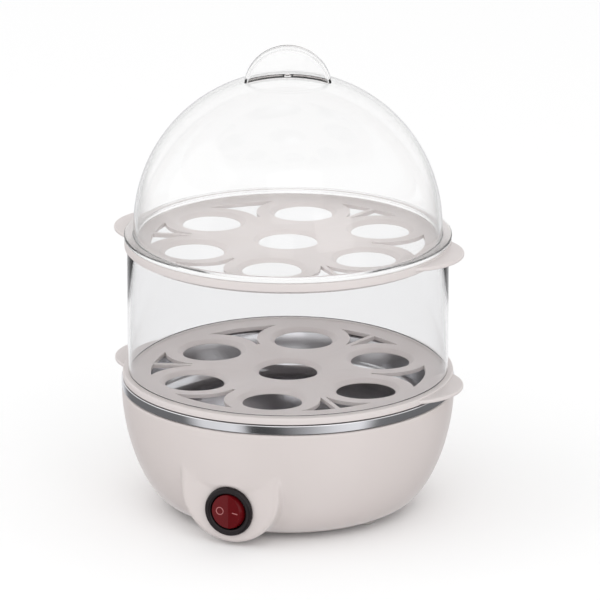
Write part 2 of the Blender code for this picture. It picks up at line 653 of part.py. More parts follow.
def dome(radius, low):
    """A half ball's side from its top down to the level where its straight wall starts."""
    arc = [math.radians(90 * (1 - i / 9)) for i in range(10)]
    side = [(radius * math.cos(a), LID_CENTRE_Z + radius * math.sin(a)) for a in arc[1:]]
    return [(0, LID_CENTRE_Z + radius), *side, (radius, low)]


def lid():
    flange_top = LID_FOOT_Z + LID_WALL
    profile = [*dome(LID_R, flange_top), (LID_FLANGE_R, flange_top), (LID_FLANGE_R, LID_FOOT_Z),
               (0, LID_FOOT_Z)]
    cover = turned("lid", profile, "clear_plastic")
    half = FIN_THICK / 2
    combine(cover, rod("lid_grip", FIN_R, around(FIN_TURN, half, FIN_CENTRE_Z),
                       around(FIN_TURN, -half, FIN_CENTRE_Z), sides=ROUND), "UNION")
    hollow = [*dome(LID_R - LID_WALL, LID_FOOT_Z - 4), (0, LID_FOOT_Z - 4)]
    combine(cover, turned("lid_hollow", hollow))
    half -= FIN_WALL
    combine(cover, rod("grip_hollow", FIN_R - FIN_WALL, around(FIN_TURN, half, FIN_CENTRE_Z),
                       around(FIN_TURN, -half, FIN_CENTRE_Z), sides=ROUND))
    combine(cover, rod("lid_vent", VENT_R, around(FIN_TURN + 180, VENT_RING_R, 190),
                       around(FIN_TURN + 180, VENT_RING_R, 215)))


def main():
    start()
    base_housing()
    bottom_cover()
    feet()
    cover_screws()
    heating_pan()
    heat_spreader()
    heating_element()
    thermostat()
    pan_brackets()
    cord_gland()
    switch_body()
    switch_rocker()
    wiring()
    trays()
    middle_ring()
    lid()


main()
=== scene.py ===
import math

import bpy
from mathutils import Matrix, Vector


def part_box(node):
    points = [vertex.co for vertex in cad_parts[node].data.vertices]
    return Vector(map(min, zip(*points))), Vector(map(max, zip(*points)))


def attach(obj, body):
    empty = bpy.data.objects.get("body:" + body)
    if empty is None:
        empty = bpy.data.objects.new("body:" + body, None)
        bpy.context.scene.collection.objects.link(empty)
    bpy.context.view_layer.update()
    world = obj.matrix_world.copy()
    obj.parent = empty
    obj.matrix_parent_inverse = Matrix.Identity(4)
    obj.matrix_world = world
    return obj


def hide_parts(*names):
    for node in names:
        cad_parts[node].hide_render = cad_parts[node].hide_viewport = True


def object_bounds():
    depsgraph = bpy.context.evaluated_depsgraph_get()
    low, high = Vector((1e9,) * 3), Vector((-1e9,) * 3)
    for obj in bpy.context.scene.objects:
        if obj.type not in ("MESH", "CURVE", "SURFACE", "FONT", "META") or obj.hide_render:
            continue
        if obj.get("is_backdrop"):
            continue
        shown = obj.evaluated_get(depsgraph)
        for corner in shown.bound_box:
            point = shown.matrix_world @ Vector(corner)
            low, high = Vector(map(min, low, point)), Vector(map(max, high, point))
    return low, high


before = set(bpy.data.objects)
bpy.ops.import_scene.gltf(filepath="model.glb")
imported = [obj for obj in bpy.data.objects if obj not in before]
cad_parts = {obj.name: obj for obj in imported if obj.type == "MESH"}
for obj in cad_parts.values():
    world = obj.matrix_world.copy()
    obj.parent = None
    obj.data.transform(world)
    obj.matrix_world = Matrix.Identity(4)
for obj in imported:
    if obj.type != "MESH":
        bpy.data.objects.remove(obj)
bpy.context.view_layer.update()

# Looks of a two-tier egg cooker. Sizes are in millimetres and are turned into metres as each piece is made.
MM = 0.001
WELD = 0.000002          # metres
FINE_TURN = 144          # facets around the large turned pieces
SMALL_TURN = 48

WALL = 2.2               # housing
BOWL_NARROWING = 21.5    # from the rim's radius to the corner's
BOWL_CORNER_LIFT = 2.0   # corner above the pad's lowest point
BOWL_POWERS = (1.86, 1.5)
PAD_R = 25.0
PAD_RISE = 16.0          # how far the pad's round outline is stretched upwards
PAN_BAND = 4.1           # height of the steel band below the pan's rim
PAN_THICK = 0.8
FLANGE_HEIGHT = 2.0      # switch bezel
GAP = 0.3
DECK_THICK = 1.8
LOWER_DECK_DROP = 0.5    # deck below its rim
UPPER_DECK_DROP = 1.5
CUP_R = 14.0
CUP_DISH = 2.2           # how much wider the dished edge is than the cup's hole
CUP_RING_R = 47.5
CUP_WEB = 8.75
SLOT_RIB = 2.4
SLOT_INNER = 40.4        # nearest point of a steam slot to the axis
SLOT_CORNER = 63.0
SLOT_OUTER_R = 65.5
PATTERN_TURN = -17.0     # direction of the first steam slot, from the front towards +X
GRIP_TURN = 22.0         # the lid as it is set down, turned from the front towards +X
GRIP_R = 21.0
GRIP_HALF = 4.0          # half its thickness
GRIP_WALL = 1.2
VENT_RING_R = 24.0
LID_WALL = 1.6
LID_FLANGE = 4.5         # width of the foot around the dome
LID_STRAIGHT = 5.3       # upright wall below the half ball
RING_WALL = 1.8
TAB_R = 27.9
TAB_THICK = 2.0
TAB_MIDDLE_DROP = 1.8    # middle of a tab's thickness below the rim
ROCKER_R = 8.6
ROCKER_SLOPE = 20.0
ROCKER_PIVOT_Y = -73.0
ROCKER_RISE = 2.6        # its face in front of the pivot
MARK_OFFSET_OFF = 4.2    # the two marks' distances from the rocker's middle line
MARK_OFFSET_ON = 4.4
CAMERA_TURN = 22.0
CAMERA_RISE = 17.2


def deselect():
    bpy.ops.object.select_all(action="DESELECT")


def choose(piece):
    """Make one piece the only selected and the active one."""
    deselect()
    piece.select_set(True)
    bpy.context.view_layer.objects.active = piece


def box_mm(node):
    """Lowest and highest corner of a CAD node in millimetres."""
    low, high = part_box(node)
    return Vector(low) / MM, Vector(high) / MM


def soften(profile, segments=5):
    """Round the corners of a profile that carry a third number, their rounding."""
    path = []
    for i, point in enumerate(profile):
        if len(point) == 2:
            path.append(point)
            continue
        r, z, rounding = point
        corner = Vector((r, z))
        before = Vector(profile[i - 1][:2]) - corner
        after = Vector(profile[(i + 1) % len(profile)][:2]) - corner
        first = corner + before.normalized() * min(rounding, before.length * 0.48)
        last = corner + after.normalized() * min(rounding, after.length * 0.48)
        for step in range(segments + 1):
            t = step / segments
            spot = first * (1 - t) ** 2 + corner * 2 * t * (1 - t) + last * t ** 2
            path.append((spot.x, spot.y))
    return path


def lathe(name, profile, steps=FINE_TURN, closed=False):
    """Draw a profile of (radius, height) points vertex by vertex and spin it about Z."""
    path = soften(profile)
    if closed:
        path = [*path, path[0]]
    deselect()
    bpy.ops.mesh.primitive_plane_add(size=MM)
    piece = bpy.context.object
    piece.name = name
    bpy.ops.object.mode_set(mode="EDIT")
    bpy.ops.mesh.select_mode(type="VERT")
    bpy.ops.mesh.select_all(action="SELECT")
    bpy.ops.mesh.merge(type="CENTER")
    bpy.ops.transform.translate(value=(path[0][0] * MM, 0, path[0][1] * MM))
    for (r0, z0), (r1, z1) in zip(path, path[1:]):
        bpy.ops.mesh.extrude_vertices_move(TRANSFORM_OT_translate={"value": ((r1 - r0) * MM, 0, (z1 - z0) * MM)})
    bpy.ops.mesh.select_all(action="SELECT")
    bpy.ops.mesh.remove_doubles(threshold=WELD)
    bpy.ops.mesh.spin(steps=steps, angle=math.tau, center=(0, 0, 0), axis=(0, 0, 1))
    bpy.ops.mesh.select_all(action="SELECT")
    bpy.ops.mesh.remove_doubles(threshold=WELD)
    bpy.ops.mesh.normals_make_consistent(inside=False)
    bpy.ops.object.mode_set(mode="OBJECT")
    return piece


def prism(name, outline, low, high, flare=1.0):
    """Extrude a flat outline upwards. With a flare its top widens, which chamfers the edge that it cuts."""
    deselect()
    bpy.ops.mesh.primitive_circle_add(vertices=len(outline), radius=MM, fill_type="NGON")
    piece = bpy.context.object
    piece.name = name
    for vertex, (x, y) in zip(piece.data.vertices, outline):
        vertex.co = (x * MM, y * MM, low * MM)
    middle = sum((Vector((x, y, 0)) for x, y in outline), Vector()) / len(outline) * MM
    bpy.ops.object.mode_set(mode="EDIT")
    bpy.ops.mesh.select_mode(type="FACE")
    bpy.ops.mesh.select_all(action="SELECT")
    bpy.ops.mesh.extrude_region_move(TRANSFORM_OT_translate={"value": (0, 0, (high - low) * MM)})
    if flare != 1.0:
        bpy.ops.mesh.extrude_region_move(TRANSFORM_OT_translate={"value": (0, 0, MM)})
        bpy.ops.transform.resize(value=(flare, flare, 1), center_override=middle)
    bpy.ops.mesh.select_all(action="SELECT")
    bpy.ops.mesh.normals_make_consistent(inside=False)
    bpy.ops.object.mode_set(mode="OBJECT")
    return piece


def cube(name, low, high):
    low, high = Vector(low) * MM, Vector(high) * MM
    deselect()
    bpy.ops.mesh.primitive_cube_add(size=1, location=(low + high) / 2, scale=high - low)
    bpy.ops.object.transform_apply(location=True, rotation=True, scale=True)
    bpy.context.object.name = name
    return bpy.context.object


def drum(name, radius, low, high, sides=SMALL_TURN):
    """A cylinder between two points."""
    low, high = Vector(low) * MM, Vector(high) * MM
    deselect()
    bpy.ops.mesh.primitive_cylinder_add(vertices=sides, radius=radius * MM, depth=(high - low).length,
                                        location=(low + high) / 2,
                                        rotation=(high - low).to_track_quat("Z", "Y").to_euler())
    bpy.ops.object.transform_apply(location=True, rotation=True, scale=True)
    bpy.context.object.name = name
    return bpy.context.object


def combine(piece, tool, operation="DIFFERENCE"):
    boolean = piece.modifiers.new("combine", "BOOLEAN")
    boolean.operation = operation
    boolean.object = tool
    boolean.solver = "EXACT"
    choose(piece)
    bpy.ops.object.modifier_apply(modifier=boolean.name)
    bpy.data.objects.remove(tool, do_unlink=True)


def joined(pieces, name):
    deselect()
    for piece in pieces:
        piece.select_set(True)
    bpy.context.view_layer.objects.active = pieces[0]
    bpy.ops.object.join()
    bpy.context.object.name = name
    return bpy.context.object


def round_edges(piece, width, angle=40, segments=3):
    bevel = piece.modifiers.new("round edges", "BEVEL")
    bevel.width = width * MM
    bevel.segments = segments
    bevel.limit_method = "ANGLE"
    bevel.angle_limit = math.radians(angle)
    choose(piece)
    bpy.ops.object.modifier_apply(modifier=bevel.name)


def copied(piece, name, place=(0, 0, 0)):
    """A copy with its own mesh, moved by a distance in millimetres."""
    twin = piece.copy()
    twin.data = piece.data.copy()
    twin.name = name
    bpy.context.scene.collection.objects.link(twin)
    twin.data.transform(Matrix.Translation(Vector(place) * MM))
    return twin


def point_front(piece, height):
    """Turn a piece made along +Z so that it points towards -Y, at a height."""
    piece.data.transform(Matrix.Translation((0, 0, height * MM)) @ Matrix.Rotation(math.radians(90), 4, "X"))


def point_back(piece, height):
    piece.data.transform(Matrix.Translation((0, 0, height * MM)) @ Matrix.Rotation(math.radians(-90), 4, "X"))


def done(piece, body, material, replaces=(), angle=35):
    """Shade, colour and declare a finished piece."""
    choose(piece)
    bpy.ops.object.shade_smooth_by_angle(angle=math.radians(angle))
    piece.data.materials.clear()
    piece.data.materials.append(material)
    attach(piece, body)
    if replaces:
        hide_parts(*replaces)
    return piece


def around(angle, radius):
    """A place at an angle in degrees from the front (-Y) towards +X."""
    turn = math.radians(angle)
    return radius * math.sin(turn), -radius * math.cos(turn)


# ---------------------------------------------------------------- materials

def wire(tree, kind, settings=None, **inputs):
    """A shader node with its settings, and its inputs set or linked. An input's name may use _ for a space."""
    made = tree.nodes.new(kind)
    for key, value in (settings or {}).items():
        setattr(made, key, value)
    for key, value in inputs.items():
        numbered = key[0] == "i" and key[1:].isdigit()
        socket = made.inputs[int(key[1:]) if numbered else key.replace("_", " ")]
        if isinstance(value, bpy.types.NodeSocket):
            tree.links.new(value, socket)
        else:
            socket.default_value = value
    return made


def new_group(name, inputs, outputs):
    group = bpy.data.node_groups.new(name, "ShaderNodeTree")
    for label, value in inputs.items():
        group.interface.new_socket(label, in_out="INPUT", socket_type="NodeSocketFloat").default_value = value
    for label in outputs:
        group.interface.new_socket(label, in_out="OUTPUT", socket_type="NodeSocketFloat")
    return group, group.nodes.new("NodeGroupInput"), group.nodes.new("NodeGroupOutput")


def moulding_group():
    """Height and cloudiness of a moulded skin: a fine grain, with slow sink marks and flow under it."""
    group, given, result = new_group("moulded skin", {"Grain": 900.0, "Flow": 22.0}, ("Height", "Cloud"))
    place = wire(group, "ShaderNodeTexCoord").outputs["Object"]
    grain = wire(group, "ShaderNodeTexNoise", Vector=place, Scale=given.outputs["Grain"], Detail=3.0,
                 Roughness=0.6)
    flow = wire(group, "ShaderNodeTexNoise", Vector=place, Scale=given.outputs["Flow"], Detail=2.0,
                Roughness=0.5)
    mixed = wire(group, "ShaderNodeMath", {"operation": "MULTIPLY_ADD"}, i0=flow.outputs["Fac"], i1=2.5,
                 i2=grain.outputs["Fac"])
    group.links.new(mixed.outputs[0], result.inputs["Height"])
    group.links.new(flow.outputs["Fac"], result.inputs["Cloud"])
    return group


def rubbing_group():
    """A mask of hair-fine rub marks: thin ridges of two stretched noises, only in patches."""
    group, given, result = new_group("rub marks", {"Scale": 60.0, "Amount": 0.5}, ("Mask",))
    place = wire(group, "ShaderNodeTexCoord").outputs["Object"]
    patches = wire(group, "ShaderNodeTexNoise", Vector=place, Scale=35.0, Detail=2.0)
    total = None
    for turn in (0.5, 2.1):
        lay = wire(group, "ShaderNodeMapping", Vector=place, Rotation=(0.3, turn, turn), Scale=(14.0, 1.0, 1.0))
        noise = wire(group, "ShaderNodeTexNoise", Vector=lay.outputs[0], Scale=given.outputs["Scale"], Detail=1.0)
        ridge = wire(group, "ShaderNodeMapRange", Value=noise.outputs["Fac"], From_Min=0.66, From_Max=0.72)
        total = ridge if total is None else wire(group, "ShaderNodeMath", {"operation": "MAXIMUM"},
                                                 i0=total.outputs[0], i1=ridge.outputs[0])
    local = wire(group, "ShaderNodeMapRange", Value=patches.outputs["Fac"], From_Min=0.5, From_Max=0.7)
    held = wire(group, "ShaderNodeMath", {"operation": "MULTIPLY"}, i0=total.outputs[0], i1=local.outputs[0])
    faded = wire(group, "ShaderNodeMath", {"operation": "MULTIPLY"}, i0=held.outputs[0],
                 i1=given.outputs["Amount"])
    group.links.new(faded.outputs[0], result.inputs["Mask"])
    return group


def turning_group():
    """Fine circular lines round the Z axis, as on polished pressings and turned metal."""
    group, given, result = new_group("turning lines", {"Pitch": 900.0}, ("Height", "Mask"))
    place = wire(group, "ShaderNodeTexCoord").outputs["Object"]
    axes = wire(group, "ShaderNodeSeparateXYZ", Vector=place)
    flat = wire(group, "ShaderNodeCombineXYZ", X=axes.outputs["X"], Y=axes.outputs["Y"])
    radius = wire(group, "ShaderNodeVectorMath", {"operation": "LENGTH"}, i0=flat.outputs[0])
    polar = wire(group, "ShaderNodeCombineXYZ", X=radius.outputs["Value"], Y=axes.outputs["Z"])
    lines = wire(group, "ShaderNodeTexNoise", Vector=polar.outputs[0], Scale=given.outputs["Pitch"], Detail=4.0)
    patches = wire(group, "ShaderNodeTexNoise", Vector=place, Scale=24.0, Detail=3.0)
    group.links.new(lines.outputs["Fac"], result.inputs["Height"])
    group.links.new(patches.outputs["Fac"], result.inputs["Mask"])
    return group


SKIN = moulding_group()
RUBS = rubbing_group()
TURNING = turning_group()


def new_material(name):
    material = bpy.data.materials.new(name)
    material.use_nodes = True
    tree = material.node_tree
    return material, tree, tree.nodes["Principled BSDF"]


def use_group(tree, group, **values):
    return wire(tree, "ShaderNodeGroup", {"node_tree": group}, **values)


def moulded(name, colour, cloudy, roughness, grain=900.0, depth=0.02, rubs=0.3, coat=0.0, gloss=0.5):
    """Moulded plastic or rubber: two close tones in slow clouds, a fine skin, and a few rub marks."""
    material, tree, shader = new_material(name)
    skin = use_group(tree, SKIN, Grain=grain)
    rub = use_group(tree, RUBS, Amount=rubs)
    tone = wire(tree, "ShaderNodeMix", {"data_type": "RGBA"}, Factor=skin.outputs["Cloud"])
    tone.inputs["A"].default_value = (*colour, 1)
    tone.inputs["B"].default_value = (*cloudy, 1)
    tree.links.new(tone.outputs["Result"], shader.inputs["Base Color"])
    rough = wire(tree, "ShaderNodeMapRange", Value=skin.outputs["Cloud"], To_Min=roughness - 0.05,
                 To_Max=roughness + 0.07)
    worn = wire(tree, "ShaderNodeMath", {"operation": "MULTIPLY_ADD", "use_clamp": True}, i0=rub.outputs["Mask"],
                i1=0.3, i2=rough.outputs[0])
    tree.links.new(worn.outputs[0], shader.inputs["Roughness"])
    bump = wire(tree, "ShaderNodeBump", Height=skin.outputs["Height"], Strength=0.35, Distance=depth * MM)
    tree.links.new(bump.outputs[0], shader.inputs["Normal"])
    shader.inputs["Specular IOR Level"].default_value = gloss
    shader.inputs["Coat Weight"].default_value = coat
    shader.inputs["Coat Roughness"].default_value = 0.12
    shader.inputs["IOR"].default_value = 1.49
    return material


def metal(name, colour, dull, roughness, pitch=900.0, depth=0.01):
    """Pressed or turned metal: circular lines, patches that are a little duller, and rub marks."""
    material, tree, shader = new_material(name)
    lines = use_group(tree, TURNING, Pitch=pitch)
    rub = use_group(tree, RUBS, Amount=0.5)
    tone = wire(tree, "ShaderNodeMix", {"data_type": "RGBA"}, Factor=lines.outputs["Mask"])
    tone.inputs["A"].default_value = (*colour, 1)
    tone.inputs["B"].default_value = (*dull, 1)
    tree.links.new(tone.outputs["Result"], shader.inputs["Base Color"])
    rough = wire(tree, "ShaderNodeMapRange", Value=lines.outputs["Mask"], To_Min=roughness - 0.03,
                 To_Max=roughness + 0.06)
    worn = wire(tree, "ShaderNodeMath", {"operation": "MULTIPLY_ADD", "use_clamp": True}, i0=rub.outputs["Mask"],
                i1=0.2, i2=rough.outputs[0])
    tree.links.new(worn.outputs[0], shader.inputs["Roughness"])
    bump = wire(tree, "ShaderNodeBump", Height=lines.outputs["Height"], Strength=0.3, Distance=depth * MM)
    tree.links.new(bump.outputs[0], shader.inputs["Normal"])
    shader.inputs["Metallic"].default_value = 1.0
    return material


def clear(name, tint, edge_shade_start=0.7, outline=0.4, bending=1.36):
    """Clear moulded plastic. Its colour greys where a wall is seen nearly edge on, a painted shade on the walls'
    edges, and it lets lamps through.

    Light that has crossed more than five surfaces goes straight on, so that no ray is lost inside a wall.
    """
    material, tree, shader = new_material(name)
    # Painted shade: the base colour darkens from the tint towards grazing view, standing in for the grey edges of
    # the clear walls.
    facing = wire(tree, "ShaderNodeLayerWeight", Blend=0.5).outputs["Facing"]
    ramp = wire(tree, "ShaderNodeValToRGB", Fac=facing)
    edge_end = 0.97
    shoulder = (edge_shade_start * 0.4 + edge_end * 0.6, outline + (1 - outline) * 0.67)
    for i, (at, share) in enumerate(((edge_shade_start, 1.0), (edge_end, outline), shoulder)):
        stop = ramp.color_ramp.elements[i] if i < 2 else ramp.color_ramp.elements.new(at)
        stop.position = at
        stop.color = (*(share * part for part in tint), 1)
    tree.links.new(ramp.outputs["Color"], shader.inputs["Base Color"])
    skin = use_group(tree, SKIN, Grain=500.0, Flow=16.0)
    shader.inputs["Roughness"].default_value = 0.03
    bump = wire(tree, "ShaderNodeBump", Height=skin.outputs["Cloud"], Strength=0.1, Distance=0.2 * MM)
    tree.links.new(bump.outputs[0], shader.inputs["Normal"])
    shader.inputs["Transmission Weight"].default_value = 1.0
    shader.inputs["IOR"].default_value = bending
    through = wire(tree, "ShaderNodeBsdfTransparent")
    through.inputs["Color"].default_value = (0.93, 0.93, 0.93, 1)
    path = wire(tree, "ShaderNodeLightPath")
    trapped = wire(tree, "ShaderNodeMath", {"operation": "GREATER_THAN"}, i0=path.outputs["Transmission Depth"],
                   i1=5.5)
    skips = wire(tree, "ShaderNodeMath", {"operation": "MAXIMUM"}, i0=path.outputs["Is Shadow Ray"],
                 i1=trapped.outputs[0])
    either = wire(tree, "ShaderNodeMixShader", Fac=skips.outputs[0])
    tree.links.new(shader.outputs[0], either.inputs[1])
    tree.links.new(through.outputs[0], either.inputs[2])
    tree.links.new(either.outputs[0], tree.nodes["Material Output"].inputs["Surface"])
    return material


CREAM = moulded("cream housing plastic", (0.64, 0.585, 0.57), (0.615, 0.56, 0.545), 0.36, depth=0.02, coat=0.1)
TRAY = moulded("cream tray plastic", (0.655, 0.608, 0.598), (0.636, 0.584, 0.571), 0.4, depth=0.02)
STEEL = metal("polished pan steel", (0.78, 0.78, 0.80), (0.68, 0.68, 0.70), 0.13)
ALUMINIUM = metal("cast aluminium", (0.70, 0.70, 0.71), (0.55, 0.55, 0.56), 0.42, pitch=300.0, depth=0.05)
ZINC = metal("zinc plated steel", (0.62, 0.62, 0.60), (0.48, 0.48, 0.50), 0.33, pitch=500.0)
BRASS = metal("stamped brass", (0.78, 0.60, 0.30), (0.62, 0.45, 0.20), 0.28, pitch=600.0)
BLACK = moulded("black switch plastic", (0.009, 0.006, 0.007), (0.014, 0.010, 0.011), 0.25, grain=1400.0,
                depth=0.008, rubs=0.4, gloss=0.25)
RUBBER = moulded("foot rubber", (0.55, 0.52, 0.50), (0.45, 0.43, 0.41), 0.75, grain=1500.0, depth=0.05, rubs=0.2)
SILICONE = moulded("silicone", (0.72, 0.71, 0.69), (0.66, 0.65, 0.63), 0.55, grain=1200.0, depth=0.03)
SLEEVE = moulded("woven sleeve", (0.72, 0.70, 0.64), (0.60, 0.58, 0.52), 0.8, grain=2500.0, depth=0.2)
CERAMIC = moulded("terminal ceramic", (0.80, 0.78, 0.73), (0.74, 0.72, 0.67), 0.5, grain=800.0, depth=0.05)
RED = moulded("red rocker lens", (0.125, 0.004, 0.006), (0.09, 0.002, 0.004), 0.16, grain=700.0, depth=0.005,
              gloss=0.2)
MARK = moulded("rocker marks", (0.45, 0.16, 0.16), (0.40, 0.13, 0.13), 0.4, grain=1200.0, depth=0.01)
CLEAR = clear("clear lid plastic", (0.99, 0.99, 0.99))
SMOKY = clear("clear ring plastic", (0.915, 0.915, 0.92), edge_shade_start=0.9, outline=0.75, bending=1.15)
LAMP = clear("lamp glass", (0.95, 0.9, 0.85))


# ---------------------------------------------------------------- base

def bowl_side(rim_r, rim_z, corner_z, steps):
    """The bowl's outer side, a superellipse from its rim down to its corner."""
    power_z, power_r = BOWL_POWERS
    corner_r = rim_r - BOWL_NARROWING
    side = []
    for i in range(steps + 1):
        t = math.sin(i / steps * math.pi / 2)
        radius = corner_r + BOWL_NARROWING * max(0.0, 1 - t ** power_z) ** (1 / power_r)
        side.append((radius, rim_z - t * (rim_z - corner_z)))
    return side


def inset(points, distance):
    moved = []
    for i, (r, z) in enumerate(points):
        before, after = points[max(i - 1, 0)], points[min(i + 1, len(points) - 1)]
        dr, dz = after[0] - before[0], after[1] - before[1]
        length = math.hypot(dr, dz)
        moved.append((r + dz / length * distance, z - dr / length * distance))
    return moved


def pad_block(name, radius, centre_z, back_y, face_y, spread, rounding):
    """The switch pad: a disc stretched upwards, drawn out of the bowl, with its front edge rounded."""
    deselect()
    bpy.ops.mesh.primitive_circle_add(vertices=96, radius=radius * MM, fill_type="NGON",
                                      location=(0, back_y * MM, centre_z * MM), rotation=(math.radians(90), 0, 0))
    bpy.ops.object.transform_apply(location=True, rotation=True, scale=True)
    piece = bpy.context.object
    piece.name = name
    for vertex in piece.data.vertices:
        if vertex.co.z > centre_z * MM + WELD:
            vertex.co.z = min(vertex.co.z + PAD_RISE * MM, (centre_z + PAD_R - 1) * MM)
    centre = (0, 0, centre_z * MM)
    bpy.ops.object.mode_set(mode="EDIT")
    bpy.ops.mesh.select_mode(type="FACE")
    bpy.ops.mesh.select_all(action="SELECT")
    bpy.ops.transform.resize(value=(spread, 1, spread), center_override=centre)
    bpy.ops.mesh.extrude_region_move(TRANSFORM_OT_translate={"value": (0, (face_y - back_y) * MM, 0)})
    bpy.ops.transform.resize(value=(1 / spread, 1, 1 / spread), center_override=centre)
    bpy.ops.mesh.region_to_loop()
    if rounding:
        bpy.ops.mesh.bevel(offset=rounding * MM, segments=5)
    bpy.ops.mesh.select_all(action="SELECT")
    bpy.ops.mesh.normals_make_consistent(inside=False)
    bpy.ops.object.mode_set(mode="OBJECT")
    return piece


def blend_pad(shell, half_width, bottom_z, top_z, passes):
    """Melt the top of the switch pad into the bowl's wall, as one soft shoulder, in a window of its front."""
    front_y = -55
    for vertex in shell.data.vertices:
        x, y, z = vertex.co / MM
        vertex.select = abs(x) < half_width and y < front_y and bottom_z < z < top_z
    choose(shell)
    bpy.context.tool_settings.mesh_select_mode = (True, False, False)
    bpy.ops.object.mode_set(mode="EDIT")
    bpy.ops.mesh.vertices_smooth(factor=0.5, repeat=passes)
    bpy.ops.object.mode_set(mode="OBJECT")


def housing():
    low, high = box_mm("base_housing")
    switch_low, switch_high = box_mm("switch_body")
    gland_low, gland_high = box_mm("cord_gland")
    rim_r, rim_z = high.x, high.z
    face_y = switch_low.y + FLANGE_HEIGHT + GAP
    switch_z = (switch_low.z + switch_high.z) / 2
    gland_z = (gland_low.z + gland_high.z) / 2
    side = bowl_side(rim_r, rim_z, low.z + BOWL_CORNER_LIFT, 40)
    corner_r, bottom_z = side[-1][0] - 0.8, low.z + 1.4
    shell = lathe("housing_shell", [(0, rim_z), *side, (corner_r, bottom_z), (0, bottom_z)])
    pad_z = low.z + PAD_R
    combine(shell, pad_block("pad", PAD_R, pad_z, -57, face_y, 1.02, 1.6), "UNION")
    boss_y = gland_high.y - 2.7
    combine(shell, drum("gland_boss", 8, (0, 63, gland_z), (0, boss_y, gland_z)), "UNION")
    inner = inset(side, WALL)
    mouth_r = box_mm("bottom_cover")[1].x + 0.5
    combine(shell, lathe("hollow", [(0, rim_z + 3), (inner[0][0], rim_z + 3), *inner, (mouth_r, inner[-1][1]),
                                    (mouth_r, -2), (0, -2)]))
    combine(shell, pad_block("pad_hollow", PAD_R - WALL, pad_z, -50, face_y + WALL, 1.0, 0))
    combine(shell, drum("switch_hole", 10.4, (0, face_y - 8, switch_z), (0, face_y + 6, switch_z)))
    combine(shell, drum("bezel_seat", 12.6, (0, face_y - 8, switch_z), (0, face_y + 0.05, switch_z)))
    combine(shell, drum("gland_hole", 4.9, (0, 60, gland_z), (0, 80, gland_z)))
    remesh = shell.modifiers.new("even skin", "REMESH")
    remesh.mode = "VOXEL"
    remesh.voxel_size = 0.85 * MM
    soft = shell.modifiers.new("moulded radii", "SMOOTH")
    soft.factor = 0.5
    soft.iterations = 5
    choose(shell)
    bpy.ops.object.modifier_apply(modifier=remesh.name)
    bpy.ops.object.modifier_apply(modifier=soft.name)
    blend_pad(shell, 22.5, 31, 52, 120)
    blend_pad(shell, 30, 38, 54, 80)
    done(shell, "base", CREAM, ("base_housing",), angle=80)


def cover_and_feet():
    low, high = box_mm("bottom_cover")
    rim_r, z = high.x, low.z
    step_r, step_z, thick = 42.0, z + 2.0, 1.8
    cover = lathe("cover_plate", [
        (0, step_z + thick), (step_r + 0.8, step_z + thick, 0.6), (step_r + 1.6, z + thick, 0.6),
        (rim_r - 1.8, z + thick, 0.4), (rim_r - 1.8, high.z, 0.4), (rim_r, high.z, 0.4), (rim_r, z, 0.8),
        (step_r, z, 0.6), (step_r - 0.8, step_z, 0.6), (0, step_z)])
    slots = []
    for i in range(12):
        outline = []
        for side, centre in ((1, 25.0), (-1, 11.5)):
            for k in range(9):
                a = math.radians(-90 + 22.5 * k)
                outline.append((centre + side * 1.2 * math.cos(a), side * 1.2 * math.sin(a)))
        turn = math.radians(30 * i + 15)
        spun = [(x * math.cos(turn) - y * math.sin(turn), x * math.sin(turn) + y * math.cos(turn))
                for x, y in outline]
        slots.append(prism(f"air_slot_{i}", spun, 0, 10))
    for i in range(1, 5):
        foot_low, foot_high = box_mm(f"foot_{i}")
        middle = (foot_low + foot_high) / 2
        slots.append(drum(f"foot_hole_{i}", 2.3, (middle.x, middle.y, 0), (middle.x, middle.y, 10)))
        screw_low, screw_high = box_mm(f"cover_screw_{i}")
        middle = (screw_low + screw_high) / 2
        slots.append(drum(f"screw_hole_{i}", 1.8, (middle.x, middle.y, 0), (middle.x, middle.y, 10)))
    combine(cover, joined(slots, "cover_openings"))
    done(cover, "base", CREAM, ("bottom_cover",))

    foot_low, foot_high = box_mm("foot_1")
    middle, top, r = (foot_low + foot_high) / 2, foot_high.z, (foot_high.x - foot_low.x) / 2
    foot = lathe("foot", [(0, top), (1.5, top, 0.4), (2.9, top - 0.9, 0.3), (2.9, top - 1.5), (2.0, top - 1.5),
                          (2.0, 1.7), (r, 1.7, 0.4), (r - 0.3, 0.35, 0.5), (r - 1.4, 0, 0.4), (r - 2.2, 0),
                          (r - 2.5, 0.35), (0, 0.35)], steps=SMALL_TURN)
    screw_low, screw_high = box_mm("cover_screw_1")
    head_z, head_r = screw_low.z, (screw_high.x - screw_low.x) / 2
    screw = lathe("screw", [(0, screw_high.z), (1.0, screw_high.z, 0.2), (1.4, screw_high.z - 1),
                            (1.4, head_z + 1.5), (head_r, head_z + 1.5, 0.1), (head_r, head_z + 0.9, 0.3),
                            (head_r - 0.9, head_z, 0.5), (0, head_z)], steps=32)
    cross = [cube("cross_a", (-1.6, -0.35, head_z - 1), (1.6, 0.35, head_z + 0.9)),
             cube("cross_b", (-0.35, -1.6, head_z - 1), (0.35, 1.6, head_z + 0.9))]
    for bar in cross:
        combine(screw, bar)
    for i in range(1, 5):
        for model, label, node, material, slot in ((foot, "rubber_foot", f"foot_{i}", RUBBER, "rubber"),
                                                   (screw, "long_screw", f"cover_screw_{i}", ZINC, "zinc_steel")):
            part_low, part_high = box_mm(node)
            middle = (part_low + part_high) / 2
            twin = copied(model, f"{label}_{i}", (middle.x, middle.y, 0))
            done(twin, "base", material, (node,))
    for model in (foot, screw):
        bpy.data.objects.remove(model, do_unlink=True)


